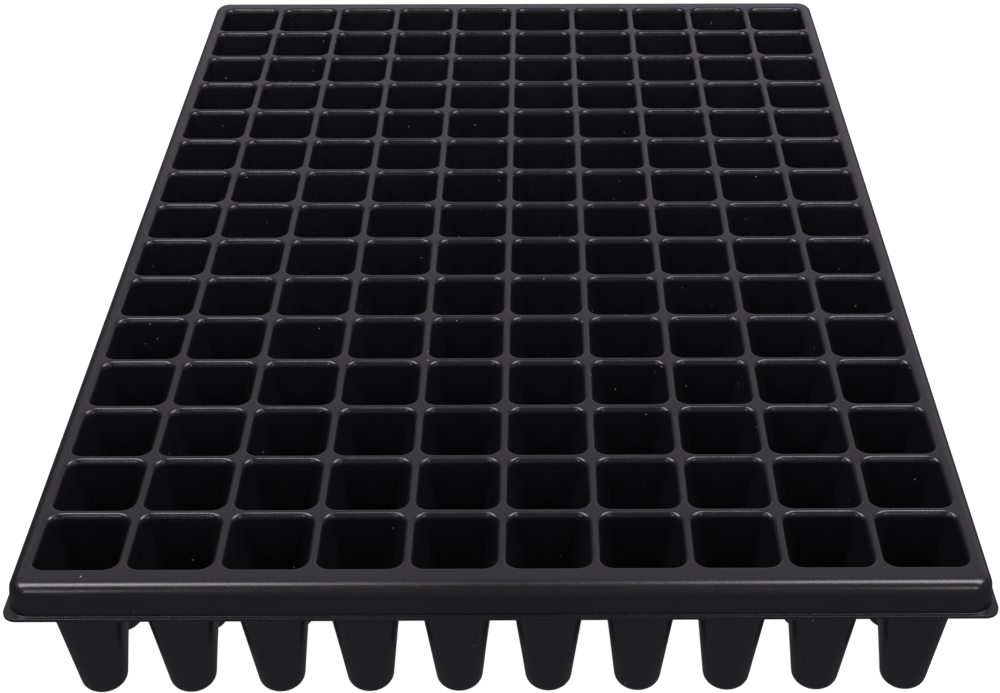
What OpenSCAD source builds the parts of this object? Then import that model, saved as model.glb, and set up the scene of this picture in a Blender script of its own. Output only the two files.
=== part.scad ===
// Seedling plug tray: one thin formed sheet, with a field of cells inside a skirted rim.
// Each cell is a rounded square at its mouth and round at its foot.
// The sheet is drawn in regions that meet face to face: the walls and the soles of the cells, one
// column at a time, the four rails of the rim and its four corners. Columns count from the left.
// The origin is the centre of the tray, on the surface that it stands on.

/* [Cell field] */
// Cells across the tray
columns = 10; // [4:1:14]
// Cells along the tray
rows = 15; // [4:1:20]
// Distance between the centres of neighbouring cells
pitch = 38; // [34:0.5:60]
// Width of the flat crown on the rib between two cells
rib_crown = 0.8; // [0.4:0.1:4]

/* [Cell] */
// Height of the tray, from the soles of the cells to the top of the deck
tray_h = 77; // [50:1:120]
// Thickness of the sheet
sheet = 1; // [0.6:0.1:1.6]
// Radius of the rolled lip round each mouth, on its upper side
lip_r = 2; // [1.7:0.1:4]
// How far the corners of the mouth are cut back along the diagonal, under the lip
corner_cut = 2; // [1:0.1:4]
// Inner radius of the cell where its round foot starts
foot_r = 9; // [7.5:0.1:11]
// How far the flat sides stay outside the round foot
flat_clear = 0.4; // [0.2:0.1:2]
// Radius of the rounded edge of the sole, on its outer side
sole_edge_r = 5; // [2:0.1:6]
// Diameter of the drain hole in the sole
drain_d = 6; // [3:0.5:9]

/* [Rim] */
// Width of the deck from the outer cells to the shoulder's edge, along the sides
side_border = 6; // [6:0.5:25]
// Width of the deck from the outer cells to the shoulder's edge, along the ends
end_border = 11; // [6:0.5:25]
// Radius of the shoulder, on its outer side
shoulder_r = 5; // [2:0.1:5.5]
// Corner radius of the rim in plan, at the shoulder's edge
rim_r = 5.8; // [5.2:0.1:6]
// Height of the skirt, from the underside of the flange to the top of the deck
skirt_h = 15; // [11:0.5:25]
// Draft of the skirt, in degrees
skirt_draft = 4.5; // [0:0.5:10]
// Radius between the skirt and the flange, on the upper side
flange_fillet_r = 0.6; // [0.4:0.1:1.2]
// How far the edge of the flange stands out from the shoulder's edge
flange_out = 2.5; // [2:0.1:12]

/* [Hidden] */
$fn = 48;
sheet_colour = [0.075, 0.073, 0.08];
field_x = columns * pitch;
field_y = rows * pitch;

// Cell, measured from its own centre with the top of the deck at z = 0. Its flat sides and its round
// corners are two funnels through each other, and the hollow is what lies inside both.
lip_steps = 2;
core = 4;
over = 1;
wall_h = tray_h - lip_r - sole_edge_r;
wall_foot_z = sole_edge_r - tray_h;
mouth_half = (pitch - rib_crown) / 2 - lip_r;
flat_foot = foot_r + flat_clear;
corner_reach = round(100 * (mouth_half * sqrt(2) - corner_cut)) / 100;
sole_c = foot_r + sheet - sole_edge_r;

// Angles that the walls take about the cell's centre. The front and back walls reach a little past the
// diagonals, so that the side walls of neighbouring cells stay clear of each other.
end_turn = 91;
side_turn = 180 - end_turn;

// Rim, measured outwards from the shoulder's edge with the top of the deck at z = 0
rim_steps = 8;
shoulder_c = [-shoulder_r, -shoulder_r];
skirt_face = [cos(skirt_draft), sin(skirt_draft)];
fillet_z = sheet + flange_fillet_r - skirt_h;
fillet_reach = shoulder_c * skirt_face + shoulder_r + flange_fillet_r;
fillet_c = [(fillet_reach - fillet_z * skirt_face.y) / skirt_face.x, fillet_z];
corner_x = field_x / 2 + side_border - rim_r;
corner_y = field_y / 2 + end_border - rim_r;

function column_name(column, group) = str("column_", column < 10 ? "0" : "", column, "_", group);
GROUPS = ["front_walls", "back_walls", "side_walls", "soles"];
CELL_NODES = [for (column = [1:columns]) for (group = GROUPS) column_name(column, group)];
RIM_NODES = [
    "front_rail", "back_rail", "left_rail", "right_rail",
    "front_left_corner", "front_right_corner", "back_left_corner", "back_right_corner"
];

// Points of an arc about c, from angle a0 to angle a1
function arc(c, r, a0, a1, steps) = [
    for (i = [0:steps])
        let (a = a0 + (a1 - a0) * i / steps)
            c + r * [cos(a), sin(a)]
];

// Quarter of a ring in the given quadrant, counted from +x towards +y
module quarter_ring(r_out, r_in, quadrant) {
    rotate(90 * quadrant)
        intersection() {
            difference() {
                circle(r = r_out);
                circle(r = r_in);
            }
            square(2 * r_out);
        }
}

// Half section of a funnel's outer side, chamfered under the lip, with the deck out to reach
module funnel_body(mouth, foot, reach) {
    polygon([
        [core, wall_foot_z],
        [foot + sheet, wall_foot_z],
        [mouth + sheet, -lip_r],
        [mouth + lip_r, -sheet],
        [reach, -sheet],
        [reach, 0],
        [core, 0]
    ]);
}

// Half section of a funnel's hollow, rounded over at the lip and open at both ends
module funnel_hollow(mouth, foot) {
    low = foot - over * (mouth - foot) / wall_h;
    polygon(concat(
        [[0, wall_foot_z - over], [low, wall_foot_z - over]],
        arc([mouth + lip_r, -lip_r], lip_r, 180, 90, lip_steps),
        [[mouth + lip_r, over], [0, over]]
    ));
}

// Half section drawn along X, for the flat side of a cell that faces +y
module flat_side() {
    translate([-pitch / 2, 0, 0])
        rotate([90, 0, 90])
            linear_extrude(height = pitch)
                children();
}

// Half section turned about the cell's centre, through the given angle about +y
module round_side(turn) {
    rotate([0, 0, 90 - turn / 2])
        rotate_extrude(angle = turn)
            children();
}

// One wall of a cell on its +y side, from the deck down to the foot
module wall(turn) {
    difference() {
        intersection() {
            flat_side()
                funnel_body(mouth_half, flat_foot, pitch / 2);
            round_side(turn)
                funnel_body(corner_reach, foot_r, pitch);
        }
        intersection() {
            flat_side()
                funnel_hollow(mouth_half, flat_foot);
            rotate_extrude()
                funnel_hollow(corner_reach, foot_r);
        }
    }
}

// Round foot: its rounded edge, its sole and the drain hole
module sole() {
    translate([0, 0, -tray_h])
        rotate_extrude() {
            translate([sole_c, sole_edge_r])
                quarter_ring(sole_edge_r, sole_edge_r - sheet, 3);
            translate([drain_d / 2, 0])
                square([sole_c - drain_d / 2, sheet]);
        }
}

// One group of pieces of every cell in a column
module column_group(column, group) {
    color(sheet_colour)
        for (row = [1:rows])
            translate([
                (column - (columns + 1) / 2) * pitch,
                (row - (rows + 1) / 2) * pitch,
                tray_h
            ]) {
                if (group == "front_walls")
                    rotate([0, 0, 180])
                        wall(end_turn);
                if (group == "back_walls")
                    wall(end_turn);
                if (group == "side_walls")
                    for (a = [90, 270])
                        rotate([0, 0, a])
                            wall(side_turn);
                if (group == "soles")
                    sole();
            }
}

// Section of the rim: deck from x = -inner, shoulder, skirt and flange, with the shoulder's edge at x = 0
module rim_section(inner) {
    polygon(concat(
        [[-inner, -sheet], [-inner, 0]],
        arc(shoulder_c, shoulder_r, 90, skirt_draft, rim_steps),
        arc(fillet_c, flange_fillet_r, 180 + skirt_draft, 270, rim_steps),
        [[flange_out, sheet - skirt_h], [flange_out, -skirt_h]],
        arc(fillet_c, flange_fillet_r + sheet, 270, 180 + skirt_draft, rim_steps),
        arc(shoulder_c, shoulder_r - sheet, skirt_draft, 90, rim_steps)
    ));
}

// Straight length of the rim along X from x = 0, facing +Y, with the shoulder's edge at y = 0
module rim_length(inner, length) {
    rotate([90, 0, 90])
        linear_extrude(height = length)
            rim_section(inner);
}

// Rail along an end of the field; side is 1 at the back and -1 at the front
module end_rail(side) {
    color(sheet_colour)
        mirror([0, side > 0 ? 0 : 1, 0])
            translate([-field_x / 2, field_y / 2 + end_border, tray_h])
                rim_length(end_border, field_x);
}

// Rail along a side of the field; side is 1 on the right and -1 on the left
module side_rail(side) {
    color(sheet_colour)
        mirror([side > 0 ? 0 : 1, 0, 0])
            translate([field_x / 2 + side_border, field_y / 2, tray_h])
                rotate([0, 0, -90])
                    rim_length(side_border, field_y);
}

// Corner of the rim, from the field's own corner to the flange
module rim_corner(side_x, side_y) {
    short_x = corner_x - field_x / 2;
    short_y = corner_y - field_y / 2;
    color(sheet_colour)
        mirror([side_x > 0 ? 0 : 1, 0, 0])
            mirror([0, side_y > 0 ? 0 : 1, 0])
                translate([0, 0, tray_h]) {
                    translate([corner_x, corner_y, 0])
                        rotate_extrude(angle = 90)
                            translate([rim_r, 0])
                                rim_section(rim_r);
                    if (short_x > 0)
                        translate([field_x / 2, corner_y + rim_r, 0])
                            rim_length(rim_r, short_x);
                    if (short_y > 0)
                        translate([corner_x + rim_r, corner_y, 0])
                            rotate([0, 0, -90])
                                rim_length(rim_r, short_y);
                    if (short_x > 0 && short_y > 0)
                        translate([field_x / 2, field_y / 2, -sheet])
                            cube([short_x, short_y, sheet]);
                }
}

for (column = [1:columns])
    for (group = GROUPS)
        column_group(column, group);
end_rail(-1);  // front_rail
end_rail(1);  // back_rail
side_rail(-1);  // left_rail
side_rail(1);  // right_rail
rim_corner(-1, -1);  // front_left_corner
rim_corner(1, -1);  // front_right_corner
rim_corner(-1, 1);  // back_left_corner
rim_corner(1, 1);  // back_right_corner
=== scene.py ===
"""Looks of the seedling plug tray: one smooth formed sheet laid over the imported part."""
import math

import bmesh
import bpy
import numpy as np
from mathutils import Matrix, Vector


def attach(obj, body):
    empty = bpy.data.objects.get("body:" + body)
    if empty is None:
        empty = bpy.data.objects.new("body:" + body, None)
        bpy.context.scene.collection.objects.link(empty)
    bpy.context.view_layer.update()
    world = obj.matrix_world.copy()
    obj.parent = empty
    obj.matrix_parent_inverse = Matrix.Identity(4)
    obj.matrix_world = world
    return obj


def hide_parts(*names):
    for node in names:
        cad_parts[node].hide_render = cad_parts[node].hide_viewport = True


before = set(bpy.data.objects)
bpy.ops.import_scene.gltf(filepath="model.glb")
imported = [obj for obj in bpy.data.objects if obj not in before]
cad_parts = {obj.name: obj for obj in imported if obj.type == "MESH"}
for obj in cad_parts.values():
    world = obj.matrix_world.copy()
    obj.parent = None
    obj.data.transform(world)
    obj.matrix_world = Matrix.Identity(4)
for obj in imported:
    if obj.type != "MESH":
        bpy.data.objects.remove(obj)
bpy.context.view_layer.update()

MM = 0.001

# Sizes of the sheet in millimetres, as in the part's source
COLUMNS, ROWS, PITCH = 10, 15, 38.0
TRAY_H = 77.0
SHEET = 1.0
FOOT_R = 9.0
SOLE_EDGE_R = 5.0
DRAIN_R = 3.0
SIDE_BORDER, END_BORDER = 6.0, 11.0
SKIRT_H = 15.0
FLANGE_OUT = 2.5

# Sizes that are fitted more closely to the photograph than in the source, inside the same box. The draft
# is in degrees.
RIB_CROWN = 0.3
LIP_R, LIP_DEPTH = 2.4, 3.8
SHOULDER_R = 5.6
RIM_R = 9.0
SKIRT_DRAFT = 6.5
FLANGE_FILLET_R = 0.2

# Details of the sheet that the source leaves out
MOUTH_R = 5.0
FLANGE_LIP = 0.6
FLANGE_EDGE_R = 0.15
FLANGE_CORNER_R = 6.0
EDGE_BEVEL = 0.25

# Sizes that follow from these: the centre of a mouth's corner, the foot of the walls below the deck, and
# half the sides of the cell field and of the shoulder's edge
MOUTH_C = (PITCH - RIB_CROWN) / 2 - LIP_R - MOUTH_R
WALL_FOOT_Z = SOLE_EDGE_R - TRAY_H
FIELD_X, FIELD_Y = COLUMNS * PITCH / 2, ROWS * PITCH / 2
EDGE_X, EDGE_Y = FIELD_X + SIDE_BORDER, FIELD_Y + END_BORDER

# Steps of the meshes, and the points in a ring of a cell
ARC_STEPS, SIDE_STEPS = 8, 4
LIP_STEPS, WALL_STEPS, FOOT_STEPS = 9, 5, 6
RIM_ARC_STEPS, PROFILE_STEPS = 12, 8
RING = 4 * (ARC_STEPS + SIDE_STEPS)
# Width in millimetres of the narrow loop that keeps a flat face flat beside a round one
LOOP_GAP = 0.05
# Distance in metres within which points are joined, and the angle from which an edge is sharp
WELD_M = 1e-7
SHARP_ANGLE = math.radians(40)
# Quarter turn of points in plan, from +x to +y
TURN = np.array([[0.0, 1.0], [-1.0, 0.0]])

# Sheet material: scales of its textures per metre, colours, roughness and relief
CLOUD_SCALE, CLOUD_DETAIL = 18, 3
GRAIN_SCALE, GRAIN_DETAIL = 1400, 2
DRAW_SCALE, DRAW_DETAIL = 420, 3
DRAW_STRETCH = (1, 1, 0.08)
NOISE_SPAN = (0.3, 0.7)
TONES = (0.0050, 0.0048, 0.0054, 1), (0.0074, 0.0071, 0.0080, 1)
DUST_SCALE = 330
DUST_ABOVE = 0.965
DUST_SIZE = (0.04, 0.13)
DUST_COLOUR = (0.30, 0.29, 0.28, 1)
DUST_ROUGHNESS = 0.8
CLOUD_ROUGHNESS = (0.22, 0.27)
DRAW_ROUGHNESS = (0, 0.04)
GRAIN_RELIEF, DRAW_RELIEF = 0.6, 0.3
BUMP_STRENGTH, BUMP_DISTANCE = 0.015, 0.0002

# Camera, from a fit to the photograph in the tray's own frame
PHOTO_WIDTH = 1000
SENSOR = 36.0
FOCAL_PX, CENTRE_X = 1841.75, 545.0
CAMERA_AT = (0.01416, -0.85073, 0.55267)
ELEVATION, YAW = math.radians(33.15), math.radians(0.33)
CLIP_START = 0.05

# Floor: half of its side in metres, and its looks
FLOOR_REACH = 8
FLOOR_COLOUR = (0.12, 0.12, 0.12, 1)
FLOOR_ROUGHNESS = 0.9
FLOOR_GLOW = 1.0

# Brightness of the studio overhead, against the part of each direction that points to the back
OVERHEAD = ((0, 0.20), (0.25, 0.18), (0.60, 0.50), (0.766, 0.58), (0.86, 0.52), (0.92, 0.76), (1, 0.74))
# Brightness near the horizon from left to right and behind the tray, and below it from front to back
HORIZON = (0.08, 0.50)
BEHIND = 0.45
BELOW = (0.16, 0.08)
# Parts of a direction over which these pass into each other: upwards from below to the horizon and on to
# overhead, to the right along the horizon, and to the back along the horizon and below it
HORIZON_Z, OVERHEAD_Z = (-0.06, 0.06), (0.08, 0.36)
HORIZON_X = (-0.6, 0.6)
BEHIND_Y, BELOW_Y = (0.78, 0.94), (-0.8, 0.8)
# How much further the dark horizon rises on the left than on the right
LEAN = 0.35
STUDIO_TINT = (0.92, 0.88, 1.0, 1)

# Lamps on each side: name, place on the right, size in metres and power in watts
LAMPS = (
    ("softbox", (0.70, -0.25, 1.3), (0.48, 1.0), 16),
    ("fill", (0.63, -1.2, 0.80), (0.3, 0.3), 1.7),
)
LAMP_TARGET = (0, -0.1, 0.07)
LAMP_TINT = (0.97, 0.94, 1.0)


def four_ways(first):
    """A ring of four equal quarters, from the points of the first one."""
    quarters = [first]
    for _ in range(3):
        quarters.append(quarters[-1] @ TURN)
    return np.concatenate(quarters)


def with_side(arc):
    """The arc's points and those of the straight side that follows it, up to the next quarter."""
    end, start = arc[-1], arc[0] @ TURN
    side = [end + (start - end) * s / SIDE_STEPS for s in range(1, SIDE_STEPS)]
    return np.array([*arc, *side])


def rounded_square(c, r):
    """Ring of a square whose rounded corners have their centres at (c, c) and radius r."""
    angles = np.radians(np.linspace(0, 90, ARC_STEPS + 1))
    return four_ways(with_side(c + r * np.stack([np.cos(angles), np.sin(angles)], 1)))


def circle(r):
    """Ring of a circle, its points in step with those of a rounded square."""
    step = 2 * math.pi / RING
    angles = math.pi / 4 + (np.arange(RING) - ARC_STEPS / 2) * step
    return r * np.stack([np.cos(angles), np.sin(angles)], 1)


def tile_edge():
    """Ring round the cell's own square of deck."""
    half = PITCH / 2
    rise = np.linspace(MOUTH_C, half, ARC_STEPS // 2 + 1)
    up = np.stack([np.full_like(rise, half), rise], 1)
    return four_ways(with_side(np.concatenate([up, up[-2::-1, ::-1]])))


def at(ring, z):
    """Ring at one height."""
    return np.column_stack([ring, np.full(len(ring), z)])


def lip_rings(r, width, depth, angles):
    """Rings of a rolled lip with an elliptical section, whose wall has corners of radius r."""
    return [
        at(rounded_square(MOUTH_C, r + width * (1 - math.cos(a))), depth * math.sin(a) - LIP_DEPTH)
        for a in angles
    ]


def wall_rings(start, end):
    """Rings between the two ends of a wall."""
    return [start + (end - start) * t for t in np.linspace(0, 1, WALL_STEPS + 1)[1:-1]]


def foot_rings(r, edge_r, angles):
    """Rings of the rounded edge between a wall of radius r at its foot and the sole."""
    return [
        at(circle(r - edge_r * (1 - math.cos(a))), WALL_FOOT_Z - edge_r * math.sin(a))
        for a in angles
    ]


def cell_rings():
    """Rings of one cell, from its square of deck down the inside, through the drain hole and up outside."""
    draft = math.atan2(MOUTH_C + MOUTH_R - FOOT_R, -LIP_DEPTH - WALL_FOOT_Z)
    roll = np.linspace(math.pi / 2, math.atan(math.tan(draft) * LIP_DEPTH / LIP_R), LIP_STEPS + 1)
    bend = np.linspace(draft, math.pi / 2, FOOT_STEPS + 1)
    deck = rounded_square(MOUTH_C, MOUTH_R + LIP_R + LOOP_GAP)
    inner_lip = lip_rings(MOUTH_R, LIP_R, LIP_DEPTH, roll)
    outer_lip = lip_rings(MOUTH_R + SHEET, LIP_R - SHEET, LIP_DEPTH - SHEET, roll[::-1])
    outer_foot = foot_rings(FOOT_R + SHEET, SOLE_EDGE_R, bend[::-1])
    return np.array([
        at(tile_edge(), 0),
        at(deck, 0),
        *inner_lip,
        *wall_rings(inner_lip[-1], at(circle(FOOT_R), WALL_FOOT_Z)),
        *foot_rings(FOOT_R, SOLE_EDGE_R - SHEET, bend),
        at(circle(DRAIN_R + EDGE_BEVEL), SHEET - TRAY_H),
        at(circle(DRAIN_R), SHEET - EDGE_BEVEL - TRAY_H),
        at(circle(DRAIN_R), EDGE_BEVEL - TRAY_H),
        at(circle(DRAIN_R + EDGE_BEVEL), -TRAY_H),
        *outer_foot,
        *wall_rings(outer_foot[-1], outer_lip[0]),
        *outer_lip,
        at(deck, -SHEET),
        at(tile_edge(), -SHEET),
    ])


def ring_faces(count, ring):
    """Quads between neighbouring rings of count rings with ring points each."""
    k, i = np.meshgrid(np.arange(count - 1), np.arange(ring), indexing="ij")
    j = (i + 1) % ring
    return np.stack([k * ring + i, k * ring + j, (k + 1) * ring + j, (k + 1) * ring + i], -1).reshape(-1, 4)


def make_piece(name, points, faces, material):
    """Closed mesh of the sheet, from points in millimetres with the top of the deck at z = 0."""
    mesh = bpy.data.meshes.new(name)
    mesh.from_pydata(((points + [0, 0, TRAY_H]) * MM).tolist(), [], faces.tolist())
    bm = bmesh.new()
    bm.from_mesh(mesh)
    bmesh.ops.remove_doubles(bm, verts=bm.verts, dist=WELD_M)
    bmesh.ops.recalc_face_normals(bm, faces=bm.faces)
    for face in bm.faces:
        face.smooth = True
    for edge in bm.edges:
        edge.smooth = edge.calc_face_angle(math.pi) < SHARP_ANGLE
    bm.to_mesh(mesh)
    bm.free()
    mesh.materials.append(material)
    piece = bpy.data.objects.new(name, mesh)
    bpy.context.scene.collection.objects.link(piece)
    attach(piece, "root")
    return piece


def column_piece(column, rings, material):
    """All the cells of one column, with the cut edges of the sheet closed."""
    count = len(rings)
    cell = rings.reshape(-1, 3)
    skin = ring_faces(count, RING)
    i = np.arange(RING)
    j = (i + 1) % RING
    cut = np.stack([(count - 1) * RING + i, (count - 1) * RING + j, j, i], -1)
    half = PITCH / 2
    on_side = (np.abs(cell[i, 0]) == half) & (np.abs(cell[j, 0]) == half)
    points, faces = [], []
    for row in range(ROWS):
        shift = [(column - (COLUMNS - 1) / 2) * PITCH, (row - (ROWS - 1) / 2) * PITCH, 0]
        closed = on_side.copy()
        for end, y in ((0, -half), (ROWS - 1, half)):
            if row == end:
                closed |= (cell[i, 1] == y) & (cell[j, 1] == y)
        faces.append(np.concatenate([skin, cut[closed]]) + row * len(cell))
        points.append(cell + shift)
    name = f"column_{column + 1:02d}"
    piece = make_piece(f"{name}_cells", np.concatenate(points), np.concatenate(faces), material)
    groups = ("front_walls", "back_walls", "side_walls", "soles")
    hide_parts(*(f"{name}_{group}" for group in groups))


def arc_points(centre, r, start, end):
    """Points of an arc in a section, between two angles in degrees."""
    angles = np.radians(np.linspace(start, end, PROFILE_STEPS + 1))
    return [(centre[0] + r * math.cos(a), centre[1] + r * math.sin(a)) for a in angles]


def rim_profile():
    """Section of the rim from the field's edge over the shoulder to the flange and back underneath.

    Each point has an offset from the shoulder's edge, a height and the radius of its corners in plan.
    """
    draft = math.radians(SKIRT_DRAFT)
    shoulder = (-SHOULDER_R, -SHOULDER_R)
    top = SHEET + FLANGE_LIP - SKIRT_H
    fillet_z = top + FLANGE_FILLET_R
    reach = -SHOULDER_R * (math.cos(draft) + math.sin(draft)) + SHOULDER_R + FLANGE_FILLET_R
    fillet = ((reach - fillet_z * math.sin(draft)) / math.cos(draft), fillet_z)
    upper = [
        (-SHOULDER_R - LOOP_GAP, 0),
        *arc_points(shoulder, SHOULDER_R, 90, SKIRT_DRAFT),
        *arc_points(fillet, FLANGE_FILLET_R, 180 + SKIRT_DRAFT, 270),
    ]
    edge = [
        *arc_points((FLANGE_OUT - FLANGE_EDGE_R, top - FLANGE_EDGE_R), FLANGE_EDGE_R, 90, 0),
        (FLANGE_OUT, EDGE_BEVEL - SKIRT_H),
        (FLANGE_OUT - EDGE_BEVEL, -SKIRT_H),
        (FLANGE_OUT - SHEET, -SKIRT_H),
        (FLANGE_OUT - SHEET, top - SHEET),
    ]
    lower = [
        *arc_points(fillet, FLANGE_FILLET_R + SHEET, 270, 180 + SKIRT_DRAFT),
        *arc_points(shoulder, SHOULDER_R - SHEET, SKIRT_DRAFT, 90),
        (-SHOULDER_R - LOOP_GAP, -SHEET),
    ]
    return [
        *((offset, z, RIM_R + offset) for offset, z in upper),
        *((offset, z, FLANGE_CORNER_R + offset - FLANGE_OUT) for offset, z in edge),
        *((offset, z, RIM_R + offset) for offset, z in lower),
    ]


def rim_path(half_x, half_y, r):
    """Closed path round a rectangle with corners of radius r."""
    angles = np.radians(np.linspace(0, 90, RIM_ARC_STEPS + 1))
    corners = []
    for quarter, (sx, sy) in enumerate(((1, 1), (-1, 1), (-1, -1), (1, -1))):
        a = angles + quarter * math.pi / 2
        corners.append(np.stack([sx * (half_x - r) + r * np.cos(a), sy * (half_y - r) + r * np.sin(a)], 1))
    path = []
    for quarter, arc in enumerate(corners):
        after = corners[(quarter + 1) % 4][0]
        steps = COLUMNS if quarter % 2 == 0 else ROWS
        path += [*arc, *(arc[-1] + (after - arc[-1]) * s / steps for s in range(1, steps))]
    return np.array(path)


def rim_piece(material):
    """The deck's border, the shoulder, the skirt and the flange as one closed ring."""
    inner = rim_path(FIELD_X, FIELD_Y, 0)
    rings = [at(inner, 0)]
    rings += [at(rim_path(EDGE_X + offset, EDGE_Y + offset, r), z) for offset, z, r in rim_profile()]
    rings += [at(inner, -SHEET), at(inner, 0)]
    faces = ring_faces(len(rings), len(inner))
    piece = make_piece("rim", np.concatenate(rings), faces, material)
    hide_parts("front_rail", "back_rail", "left_rail", "right_rail", "front_left_corner",
                "front_right_corner", "back_left_corner", "back_right_corner")


def feed(tree, socket, value):
    """Link an output to a socket, or set the socket to a plain value."""
    if isinstance(value, bpy.types.NodeSocket):
        tree.links.new(value, socket)
    else:
        socket.default_value = value


def map_range(tree, value, source, target, smooth=False):
    """Node that maps a value from the source range to the target range."""
    node = tree.nodes.new("ShaderNodeMapRange")
    if smooth:
        node.interpolation_type = "SMOOTHSTEP"
    numbers = zip(("From Min", "From Max", "To Min", "To Max"), (*source, *target))
    for key, number in (("Value", value), *numbers):
        feed(tree, node.inputs[key], number)
    return node.outputs["Result"]


def math_node(tree, operation, *values):
    """Math node on numbers and outputs."""
    node = tree.nodes.new("ShaderNodeMath")
    node.operation = operation
    for socket, value in zip(node.inputs, values):
        feed(tree, socket, value)
    return node.outputs["Value"]


def mix(tree, kind, factor, first, second):
    """Mix node for numbers (FLOAT) or colours (RGBA)."""
    node = tree.nodes.new("ShaderNodeMix")
    node.data_type = kind
    for key, value in (("Factor", factor), ("A", first), ("B", second)):
        feed(tree, node.inputs[key], value)
    return node.outputs["Result"]


def noise(tree, vector, scale, detail):
    """Noise texture of the given scale and detail."""
    node = tree.nodes.new("ShaderNodeTexNoise")
    for key, value in (("Vector", vector), ("Scale", scale), ("Detail", detail)):
        feed(tree, node.inputs[key], value)
    return node.outputs["Fac"]


def dust_mask(tree, place):
    """1 on small specks scattered over the sheet, and 0 elsewhere."""
    specks = tree.nodes.new("ShaderNodeTexVoronoi")
    feed(tree, specks.inputs["Scale"], DUST_SCALE)
    feed(tree, specks.inputs["Vector"], place)
    draws = tree.nodes.new("ShaderNodeSeparateColor")
    feed(tree, draws.inputs["Color"], specks.outputs["Color"])
    chosen = math_node(tree, "GREATER_THAN", draws.outputs["Red"], DUST_ABOVE)
    size = map_range(tree, draws.outputs["Green"], (0, 1), DUST_SIZE)
    within = math_node(tree, "LESS_THAN", specks.outputs["Distance"], size)
    return math_node(tree, "MULTIPLY", chosen, within)


def sheet_material():
    """Black satin polystyrene with faint draw marks and a little dust."""
    material = bpy.data.materials.new("sheet")
    material.use_nodes = True
    tree = material.node_tree
    shader = tree.nodes["Principled BSDF"]
    place = tree.nodes.new("ShaderNodeTexCoord").outputs["Object"]
    stretch = tree.nodes.new("ShaderNodeMapping")
    feed(tree, stretch.inputs["Scale"], DRAW_STRETCH)
    feed(tree, stretch.inputs["Vector"], place)
    cloud = noise(tree, place, CLOUD_SCALE, CLOUD_DETAIL)
    grain = noise(tree, place, GRAIN_SCALE, GRAIN_DETAIL)
    draw = noise(tree, stretch.outputs["Vector"], DRAW_SCALE, DRAW_DETAIL)
    dust = dust_mask(tree, place)

    tone = mix(tree, "RGBA", cloud, *TONES)
    feed(tree, shader.inputs["Base Color"], mix(tree, "RGBA", dust, tone, DUST_COLOUR))

    cloudy = map_range(tree, cloud, NOISE_SPAN, CLOUD_ROUGHNESS)
    drawn = map_range(tree, draw, NOISE_SPAN, DRAW_ROUGHNESS)
    dusty = math_node(tree, "MULTIPLY", dust, DUST_ROUGHNESS)
    roughness = math_node(tree, "MAXIMUM", math_node(tree, "ADD", cloudy, drawn), dusty)
    feed(tree, shader.inputs["Roughness"], roughness)

    grain_height = math_node(tree, "MULTIPLY", grain, GRAIN_RELIEF)
    draw_height = math_node(tree, "MULTIPLY", draw, DRAW_RELIEF)
    bump = tree.nodes.new("ShaderNodeBump")
    feed(tree, bump.inputs["Strength"], BUMP_STRENGTH)
    feed(tree, bump.inputs["Distance"], BUMP_DISTANCE)
    feed(tree, bump.inputs["Height"], math_node(tree, "ADD", grain_height, draw_height))
    feed(tree, shader.inputs["Normal"], bump.outputs["Normal"])
    return material


def add_camera():
    """Camera at the photograph's viewing angle."""
    data = bpy.data.cameras.new("camera")
    data.sensor_width = SENSOR
    data.lens = FOCAL_PX * SENSOR / PHOTO_WIDTH
    data.shift_x = (PHOTO_WIDTH / 2 - CENTRE_X) / PHOTO_WIDTH
    data.clip_start = CLIP_START
    camera = bpy.data.objects.new("camera", data)
    look = Vector((
        math.sin(YAW) * math.cos(ELEVATION),
        math.cos(YAW) * math.cos(ELEVATION),
        -math.sin(ELEVATION),
    ))
    camera.matrix_world = Matrix.Translation(CAMERA_AT) @ look.to_track_quat("-Z", "Y").to_matrix().to_4x4()
    bpy.context.scene.collection.objects.link(camera)
    bpy.context.scene.camera = camera


def add_light(name, place, size, watts):
    """Soft rectangular lamp that faces the tray."""
    data = bpy.data.lights.new(name, "AREA")
    data.shape = "RECTANGLE"
    data.size, data.size_y = size
    data.energy = watts
    data.color = LAMP_TINT
    light = bpy.data.objects.new(name, data)
    aim = (Vector(LAMP_TARGET) - Vector(place)).to_track_quat("-Z", "Y")
    light.matrix_world = Matrix.Translation(place) @ aim.to_matrix().to_4x4()
    bpy.context.scene.collection.objects.link(light)


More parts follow.
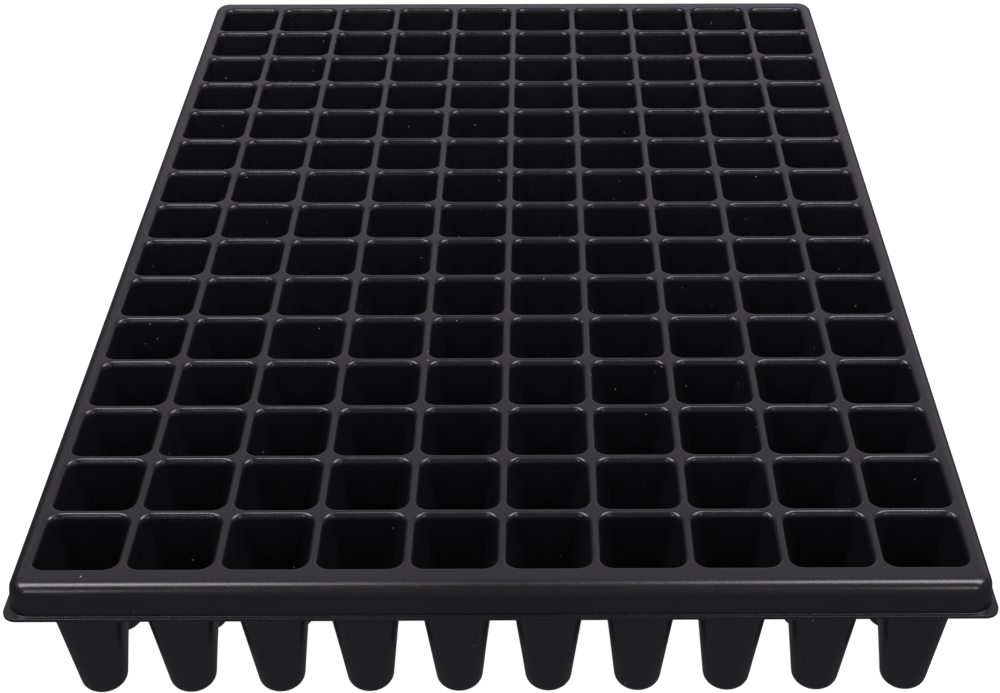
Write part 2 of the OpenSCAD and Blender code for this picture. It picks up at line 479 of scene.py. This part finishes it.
def add_floor():
    """White floor that glows, left out of reflections because the photograph's background is cut out."""
    material = bpy.data.materials.new("floor")
    material.use_nodes = True
    shader = material.node_tree.nodes["Principled BSDF"]
    shader.inputs["Base Color"].default_value = FLOOR_COLOUR
    shader.inputs["Roughness"].default_value = FLOOR_ROUGHNESS
    shader.inputs["Emission Color"].default_value = (1, 1, 1, 1)
    shader.inputs["Emission Strength"].default_value = FLOOR_GLOW
    mesh = bpy.data.meshes.new("floor")
    corners = [(FLOOR_REACH * x, FLOOR_REACH * y, 0) for x, y in ((-1, -1), (1, -1), (1, 1), (-1, 1))]
    mesh.from_pydata(corners, [], [(0, 1, 2, 3)])
    mesh.materials.append(material)
    floor = bpy.data.objects.new("floor", mesh)
    bpy.context.scene.collection.objects.link(floor)
    floor.visible_glossy = False


def add_studio():
    """World whose brightness follows the direction: overhead, near the horizon and below it."""
    world = bpy.data.worlds.new("studio")
    world.use_nodes = True
    tree = world.node_tree
    split = tree.nodes.new("ShaderNodeSeparateXYZ")
    feed(tree, split.inputs["Vector"], tree.nodes.new("ShaderNodeTexCoord").outputs["Generated"])
    x, y, z = (split.outputs[axis] for axis in "XYZ")

    def passage(value, source):
        """0 to 1 over the source range."""
        return map_range(tree, value, source, (0, 1), smooth=True)

    overhead = tree.nodes.new("ShaderNodeValToRGB")
    feed(tree, overhead.inputs["Fac"], y)
    stops = overhead.color_ramp.elements
    for position, _ in OVERHEAD[1:-1]:
        stops.new(position)
    for stop, (_, level) in zip(stops, OVERHEAD):
        stop.color = (level, level, level, 1)

    sides = map_range(tree, x, HORIZON_X, HORIZON, smooth=True)
    ground = map_range(tree, y, BELOW_Y, BELOW, smooth=True)
    horizon = mix(tree, "FLOAT", passage(y, BEHIND_Y), sides, BEHIND)
    low = mix(tree, "FLOAT", passage(z, HORIZON_Z), ground, horizon)
    rise = math_node(tree, "MULTIPLY_ADD", x, LEAN, z)
    strength = mix(tree, "FLOAT", passage(rise, OVERHEAD_Z), low, overhead.outputs["Color"])
    background = tree.nodes["Background"]
    feed(tree, background.inputs["Strength"], strength)
    feed(tree, background.inputs["Color"], STUDIO_TINT)
    bpy.context.scene.world = world


sheet = sheet_material()
rings = cell_rings()
for column in range(COLUMNS):
    column_piece(column, rings, sheet)
rim_piece(sheet)

add_camera()
add_floor()
add_studio()
for side_name, side in (("left", -1), ("right", 1)):
    for lamp, (x, y, z), size, watts in LAMPS:
        add_light(f"{side_name}_{lamp}", (side * x, y, z), size, watts)
bpy.context.scene.view_settings.view_transform = "Standard"
